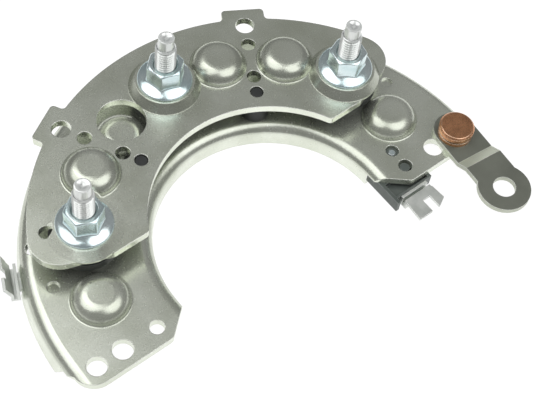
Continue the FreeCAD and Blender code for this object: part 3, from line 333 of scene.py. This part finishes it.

# slope: pairs of levelness, 1 for faces that look straight up or down, and painted light and shade,
# the factor that the colour is scaled by at that lean
finishes = {
    "platedSheet": {
        **sheetSpec, "metallic": 0.86,
        "color": (0.760, 0.795, 0.698), "stain": (0.630, 0.664, 0.558),
        # painted shade darkens the steep faces of bosses and domes, and painted light lightens
        # upright faces
        "slope": [
            (0.0, 1.2), (0.36, 1.15), (0.46, 0.64), (0.60, 0.68),
            (0.74, 0.86), (0.84, 0.80), (0.94, 0.80), (0.985, 1.0),
        ],
        "seats": True,
    },
    "channelSheet": {
        **sheetSpec, "metallic": 0.78,
        "color": (0.745, 0.778, 0.688), "stain": (0.625, 0.658, 0.560),
        # painted shade and light by lean, milder than on the upper plate
        "slope": [
            (0.0, 1.2), (0.36, 1.15), (0.46, 0.80), (0.60, 0.84),
            (0.74, 0.96), (0.84, 0.92), (0.94, 0.92), (0.985, 1.0),
        ],
    },
    "brightZinc": {
        "color": (0.810, 0.915, 0.925), "stain": (0.620, 0.770, 0.790), "edge": (0.96, 0.98, 0.99),
        "metallic": 0.85, "roughness": (0.14, 0.22), "cloudScale": 160.0, "grainScale": 3000.0,
        "edgeWidth": 0.00018, "bump": 0.000004,
    },
    "threadZinc": {
        # root: painted shade colour of the thread's roots
        "color": (0.955, 0.975, 0.955), "stain": (0.850, 0.885, 0.865), "root": (0.10, 0.11, 0.11),
        "metallic": 0.4, "roughness": (0.12, 0.20), "cloudScale": 160.0, "grainScale": 3000.0,
        "bump": 0.000003,
    },
    "oliveStrap": {
        "color": (0.300, 0.315, 0.265), "stain": (0.250, 0.262, 0.220), "edge": (0.85, 0.87, 0.82),
        "metallic": 0.7, "roughness": (0.36, 0.48), "cloudScale": 110.0, "grainScale": 2400.0,
        "edgeWidth": 0.00022, "bump": 0.000006,
        # painted light: the strap's leaning faces, its joggle among them, are painted 2 to 3.3
        # times lighter
        "slope": [(0.0, 2.0), (0.50, 2.0), (0.62, 3.3), (0.90, 3.3), (0.97, 0.9)],
    },
    "rivetCopper": {
        "color": (0.780, 0.388, 0.205), "stain": (0.560, 0.280, 0.150), "edge": (1.00, 0.80, 0.62),
        "metallic": 1.0, "roughness": (0.24, 0.36), "cloudScale": 420.0, "grainScale": 3600.0,
        "edgeWidth": 0.00034, "bump": 0.000008,
        # painted reflection colour of the copper, seen only in the plates' reflections
        "paintedReflection": (0.34, 0.33, 0.30),
    },
    "tinnedFork": {
        "color": (0.790, 0.815, 0.775), "stain": (0.620, 0.650, 0.610), "edge": (0.97, 0.97, 0.96),
        "metallic": 0.75, "roughness": (0.34, 0.48), "cloudScale": 260.0, "grainScale": 3000.0,
        "edgeWidth": 0.00020, "bump": 0.000005,
    },
    "darkMoulding": {
        "color": (0.100, 0.118, 0.108), "stain": (0.135, 0.155, 0.142), "edge": (0.34, 0.37, 0.35),
        "metallic": 0.1, "roughness": (0.30, 0.46), "cloudScale": 200.0, "grainScale": 3200.0,
        "edgeWidth": 0.00022, "bump": 0.000010,
    },
    "spacerPlastic": {
        "color": (0.022, 0.024, 0.024), "stain": (0.036, 0.040, 0.038), "edge": (0.10, 0.11, 0.11),
        "metallic": 0.0, "roughness": (0.42, 0.58), "cloudScale": 240.0, "grainScale": 3200.0,
        "edgeWidth": 0.00022, "bump": 0.000010,
    },
    "diodeMetal": {
        "color": (0.500, 0.480, 0.420), "stain": (0.380, 0.370, 0.330), "edge": (0.80, 0.78, 0.72),
        "metallic": 1.0, "roughness": (0.25, 0.40), "cloudScale": 400.0, "grainScale": 3600.0,
        "edgeWidth": 0.00015, "bump": 0.000004,
    },
    "pottingResin": {
        "color": (0.070, 0.058, 0.046), "stain": (0.050, 0.043, 0.036), "edge": (0.12, 0.10, 0.08),
        "metallic": 0.0, "roughness": (0.20, 0.34), "cloudScale": 300.0, "grainScale": 2000.0,
        "edgeWidth": 0.00025, "bump": 0.000012,
    },
}


def addLevel(tree):
    # level = size of the plain normal's Z, 1 where the surface lies level and 0 where it is upright
    normal = addNode(tree, "ShaderNodeNewGeometry").outputs["True Normal"]
    upward = addNode(tree, "ShaderNodeSeparateXYZ", {0: normal}).outputs["Z"]
    return addMath(tree, "ABSOLUTE", upward)


def addSlopeShade(tree, level, slope):
    # slopeShade = painted light and shade by the surface's lean: the slope's pairs joined by
    # straight lines, read at the level
    ramp = addNode(tree, "ShaderNodeValToRGB", {0: level})
    stops = ramp.color_ramp.elements
    while len(stops) < len(slope):
        stops.new(1.0)
    for stop, (place, slopeShade) in zip(stops, slope):
        stop.position = place
        stop.color = (slopeShade / toneSpan, slopeShade / toneSpan, slopeShade / toneSpan, 1)
    return addMath(tree, "MULTIPLY", ramp.outputs[0], toneSpan)


def makeFinish(name, spec):
    # base color = mix(mix(color, stain, cloud), painted edge highlight, edge) times the slope's
    # painted light and shade, then mixed with the painted shade of the thread roots or, in
    # reflections, the painted reflection colour
    # bump height = grain, times the calm share on level faces
    material = bpy.data.materials.new(name)
    material.use_nodes = True
    tree = material.node_tree
    shader = tree.nodes["Principled BSDF"]
    shader.inputs["Metallic"].default_value = spec["metallic"]
    scales = {"Cloud Scale": spec["cloudScale"], "Grain Scale": spec["grainScale"]}
    noise = addNode(tree, "ShaderNodeGroup", scales, node_tree=sheetGrain)
    grain = noise.outputs["Grain"]
    cloud = addRange(tree, noise.outputs["Cloud"], *finishRanges["stain"])
    color = addMix(tree, "RGBA", cloud, (*spec["color"], 1), (*spec["stain"], 1))
    level = addLevel(tree) if "slope" in spec or "calm" in spec else None
    normal, flat = None, None
    if "edgeWidth" in spec:
        width = {"Width": spec["edgeWidth"]}
        edges = addNode(tree, "ShaderNodeGroup", width, node_tree=softEdges)
        edge, normal = edges.outputs["Edge"], edges.outputs["Normal"]
        if "seats" in spec:
            # a seat gets no painted edge highlight
            seats = addNode(tree, "ShaderNodeGroup", {"Normal": normal}, node_tree=seatBlend)
            bare = addMath(tree, "LESS_THAN", seats.outputs["Seat"], seatSpec["edgeLimit"])
            edge = addMath(tree, "MULTIPLY", edge, bare)
            normal, flat = seats.outputs["Normal"], seats.outputs["Flat"]
        # painted highlight: sharp edges are lightened to the edge colour
        color = addMix(tree, "RGBA", edge, color, (*spec["edge"], 1))
    # painted light and shade: the colour is scaled by the slope's factor for the surface's lean
    if "slope" in spec:
        slopeShade = addSlopeShade(tree, level, spec["slope"])
        if flat is not None:
            # a seat that is shaded as level gets the level plate's factor of 1, no painted slope
            # shade
            slopeShade = addMix(tree, "FLOAT", flat, slopeShade, 1)
        scaled = {0: color, "Scale": slopeShade}
        color = addNode(tree, "ShaderNodeVectorMath", scaled, operation="SCALE").outputs[0]
    if "root" in spec:
        # painted shade: the thread's hollow roots are darkened to the root colour
        pointiness = addNode(tree, "ShaderNodeNewGeometry").outputs["Pointiness"]
        rootShade = addRange(tree, pointiness, *finishRanges["root"])
        color = addMix(tree, "RGBA", rootShade, color, (*spec["root"], 1))
    if "paintedReflection" in spec:
        # painted reflection: glossy rays see the copper in this grey, so the plates beside it
        # mirror it in grey
        reflected = addNode(tree, "ShaderNodeLightPath").outputs["Is Glossy Ray"]
        color = addMix(tree, "RGBA", reflected, color, (*spec["paintedReflection"], 1))
    plug(tree, shader.inputs["Base Color"], color)
    rough = addRange(tree, grain, *finishRanges["roughness"], *spec["roughness"])
    plug(tree, shader.inputs["Roughness"], rough)
    height = grain
    if "calm" in spec:
        # level faces are smooth, the drawn domes and bends are pebbled
        share = addRange(tree, level, *finishRanges["pebbles"], spec["calm"])
        if flat is not None:
            share = addMix(tree, "FLOAT", flat, share, spec["calm"])
        height = addMath(tree, "MULTIPLY", share, grain)
    bump = addNode(tree, "ShaderNodeBump", {"Distance": spec["bump"], "Height": height})
    if normal is not None:
        plug(tree, bump.inputs["Normal"], normal)
    plug(tree, shader.inputs["Normal"], bump.outputs["Normal"])
    return material


materials = {name: makeFinish(name, spec) for name, spec in finishes.items()}

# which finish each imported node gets, by the start of its name
nodeFinishes = {
    "positive_plate": "platedSheet", "negative_plate": "channelSheet",
    "positive_diode": "diodeMetal", "negative_diode": "diodeMetal",
    "positive_sealing": "pottingResin", "negative_sealing": "pottingResin",
    "terminal_board": "darkMoulding", "phase_bar": "tinnedFork", "phase_terminal": "tinnedFork",
    "insulating": "spacerPlastic", "peg_spacer": "spacerPlastic", "locating_pin": "brightZinc",
    "contact_rivet": "rivetCopper", "connector_strap": "oliveStrap",
    "mounting_studs": "brightZinc", "flange_nuts": "brightZinc",
}

for nodeName, node in nodes.items():
    finish = next(value for key, value in nodeFinishes.items() if nodeName.startswith(key))
    for place in node.material_slots:
        place.material = materials[finish]
print("finishes set")


# new pieces: surfaces round an upright axis, as grids of radius and height in metres
smoothAngle = 32    # degrees past which an edge between two faces stays sharp


def gridSurface(name, radii, heights, angles, centre, finish, closedRows):
    # point(i, j) = centre + (radius(i, j) cos angle(j), radius(i, j) sin angle(j), height(i, j))
    # closed rows join the last to the first, open rows close on one point at each end
    rows, columns = radii.shape
    points = np.stack([
        radii * np.cos(angles) + centre[0],
        radii * np.sin(angles) + centre[1],
        heights + centre[2],
    ], -1).reshape(-1, 3)
    index = np.arange(rows * columns).reshape(rows, columns)
    lower = index if closedRows else index[:-1]
    upper = np.roll(index, -1, 0) if closedRows else index[1:]
    corners = [lower, np.roll(lower, -1, 1), np.roll(upper, -1, 1), upper]
    faces = np.stack(corners, -1).reshape(-1, 4).tolist()
    if not closedRows:
        foot, crown = len(points), len(points) + 1
        ends = [[centre[0], centre[1], heights[row, 0] + centre[2]] for row in (0, -1)]
        points = np.vstack([points, np.array(ends)])
        first, last = index[0], index[-1]
        faces += np.stack([np.roll(first, -1), first, np.full(columns, foot)], -1).tolist()
        faces += np.stack([last, np.roll(last, -1), np.full(columns, crown)], -1).tolist()
    mesh = bpy.data.meshes.new(name)
    mesh.from_pydata(points.tolist(), [], faces)
    mesh.polygons.foreach_set("use_smooth", np.ones(len(mesh.polygons), bool))
    mesh.set_sharp_from_angle(angle=math.radians(smoothAngle))
    mesh.materials.append(materials[finish])
    piece = bpy.data.objects.new(name, mesh)
    scene.collection.objects.link(piece)
    return piece


# lengths in mm, each shape's rows in their order from the foot up
studSpec = {
    "columns": 72,
    "headHub": 0.4, "headBottom": 1.2, "headTop": 3.0, "headRadius": 4.5, "headRound": 0.35,
    "arcShare": 0.3,                 # how far a rounding's middle row stands in from its corner
    "shankRadius": 2.24, "shankRound": 0.3, "shankEnd": 0.1,
    "threadStart": 17.6, "threadStop": 28.5, "rowsPerTurn": 12,
    "major": 2.5, "minor": 2.03, "pitch": 0.8,
    "ribReach": 0.75, "ribFlank": 0.62,
    "coneStart": 0.1, "coneSlope": 0.9, "coneDepth": 0.12,    # it cuts no deeper below minor
    "neck": [(0.05, 0.05), (0.0, 0.3)],      # out from tipRadius, up from threadStop
    "tipRadius": 1.9, "tipTop": 31.5, "tipRound": 0.24,
    # the rounding's rows, in and down, as shares of tipRound
    "tipArc": [(0.0, 1.0), (0.12, 0.55), (0.45, 0.16), (1.0, 0.0)],
    "tipRim": [(0.14, 0.0), (0.3, 0.06)],    # in from the rounding, down
    "tipDish": [(0.75, 0.3), (0.4, 0.38), (0.05, 0.4)],    # radius, down
}


def ringRows(pairs, columns):
    # each pair of radius and height becomes one whole ring
    radii, heights = np.array(pairs).T
    return np.repeat(radii[:, None], columns, 1), np.repeat(heights[:, None], columns, 1)


def makeStud(side, spec):
    # thread: r = minor + (major - minor) clip((ribReach - d) / ribFlank, 0, 1), where d runs 0 to 1
    # from crest to root and slides by one pitch a turn, and the cone under the tip cuts it off
    angles = np.linspace(0, 2 * np.pi, spec["columns"], endpoint=False)
    low, high = spec["threadStart"], spec["threadStop"]
    z = np.arange(low, high, spec["pitch"] / spec["rowsPerTurn"])
    phase = (z[:, None] / spec["pitch"] - angles[None, :] / (2 * np.pi)) % 1.0
    d = np.abs(phase - 0.5) * 2
    rib = np.clip((spec["ribReach"] - d) / spec["ribFlank"], 0, 1)
    thread = spec["minor"] + (spec["major"] - spec["minor"]) * rib
    cone = spec["tipRadius"] + spec["coneStart"] + (high - z)[:, None] * spec["coneSlope"]
    thread = np.minimum(thread, np.maximum(cone, spec["minor"] - spec["coneDepth"]))
    bottom, top, radius = spec["headBottom"], spec["headTop"], spec["headRadius"]
    q, arc, shank = spec["headRound"], spec["arcShare"] * spec["headRound"], spec["shankRadius"]
    below = [
        (spec["headHub"], bottom), (radius - q, bottom), (radius - arc, bottom + arc),
        (radius, bottom + q), (radius, top - q), (radius - arc, top - arc), (radius - q, top),
        (shank + spec["shankRound"], top), (shank, top + spec["shankRound"]),
        (shank, low - spec["shankEnd"]),
    ]
    k, e, p = spec["tipRadius"], spec["tipTop"], spec["tipRound"]
    above = [(k + outward, high + up) for outward, up in spec["neck"]]
    above += [(k - inward * p, e - down * p) for inward, down in spec["tipArc"]]
    above += [(k - p - inward, e - down) for inward, down in spec["tipRim"]]
    above += [(reach, e - down) for reach, down in spec["tipDish"]]
    footRadii, footHeights = ringRows(below, spec["columns"])
    tipRadii, tipHeights = ringRows(above, spec["columns"])
    radii = np.vstack([footRadii, thread, tipRadii]) * millimetre
    turns = np.repeat(z[:, None], spec["columns"], 1)
    heights = np.vstack([footHeights, turns, tipHeights]) * millimetre
    centre = studCentres[side]
    piece = gridSurface("stud_" + side, radii, heights, angles, centre, "threadZinc", False)
    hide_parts("mounting_studs")
    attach(piece, "root")


nutSpec = {
    "columns": 96, "seat": 15.9,
    "turns": {"left": 33.0, "middle": 42.0, "right": 21.5},    # degrees
    "flangeRadius": 6.55, "flangeEdge": 0.5, "flangeRise": 1.1,
    "flats": 4.0, "cornerRadius": 4.55, "coveReach": 0.3, "height": 6.2,
    "topRadius": 3.8, "chamferSlope": 0.55, "boreRadius": 2.52, "sinkRadius": 3.0, "sinkDepth": 0.5,
    # from the bore out along the foot, up the flange and the hexagon, and in over the top:
    # what a row's radius and height start from, and what is added to each
    "rows": [
        ("bore", "foot", 0.0, 0.0), ("flange", "foot", -0.15, 0.0), ("flange", "foot", 0.0, 0.15),
        ("flange", "edge", 0.0, -0.22), ("flange", "edge", -0.06, -0.05),
        ("flange", "cone", -0.22, 0.0), ("halfway", "cone", 0.0, 0.0),
        ("hexagon", "cone", 0.28, 0.0),
        ("hexagon", "wallFoot", 0.09, 0.06), ("hexagon", "wallFoot", 0.0, 0.26),
        ("hexagon", "brow", 0.0, -0.12), ("hexagon", "brow", -0.05, -0.02),
        ("hexagon", "brow", -0.15, 0.06), ("top", "face", 0.04, -0.02), ("top", "face", -0.1, 0.0),
        ("sink", "face", 0.08, 0.0), ("sink", "face", 0.0, -0.05), ("bore", "sinkFloor", 0.0, 0.0),
    ],
}


def makeNut(side, spec):
    # hexagon: h = flats / cos((angle mod 60) - 30), cut to cornerRadius
    # cone: z = flangeEdge + slope (flangeRadius - r), from the flange's edge to the hexagon's foot
    # halfway: between the flange's edge and a line coveReach outside the hexagon
    # brow: the wall ends where it meets the cone z = height - chamferSlope (r - topRadius)
    angles = np.linspace(0, 2 * np.pi, spec["columns"], endpoint=False)
    hexagon = spec["flats"] / np.cos(angles % (np.pi / 3) - np.pi / 6)
    hexagon = np.minimum(hexagon, spec["cornerRadius"])
    wide, edge = spec["flangeRadius"], spec["flangeEdge"]
    slope = spec["flangeRise"] / (wide - spec["flats"])
    onCone = lambda radius: edge + slope * (wide - radius)
    radiusFrom = {
        "bore": spec["boreRadius"], "flange": wide, "hexagon": hexagon,
        "halfway": wide * 0.5 + (hexagon + spec["coveReach"]) * 0.5,
        "top": spec["topRadius"], "sink": spec["sinkRadius"],
    }
    heightFrom = {
        "foot": 0.0, "edge": edge, "wallFoot": onCone(hexagon),
        "brow": spec["height"] - spec["chamferSlope"] * (hexagon - spec["topRadius"]),
        "face": spec["height"], "sinkFloor": spec["height"] - spec["sinkDepth"],
    }
    radii = np.zeros((len(spec["rows"]), spec["columns"]))
    heights = np.zeros_like(radii)
    for row, (reach, level, outward, up) in enumerate(spec["rows"]):
        radii[row] = radiusFrom[reach] + outward
        heights[row] = (onCone(radii[row]) if level == "cone" else heightFrom[level]) + up
    radii, heights = radii * millimetre, (heights + spec["seat"]) * millimetre
    turned = angles + math.radians(spec["turns"][side])
    centre = studCentres[side]
    piece = gridSurface("nut_" + side, radii, heights, turned, centre, "brightZinc", True)
    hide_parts("flange_nuts")
    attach(piece, "root")


for side in studCentres:
    makeStud(side, studSpec)
    makeNut(side, nutSpec)
print("studs and nuts made")
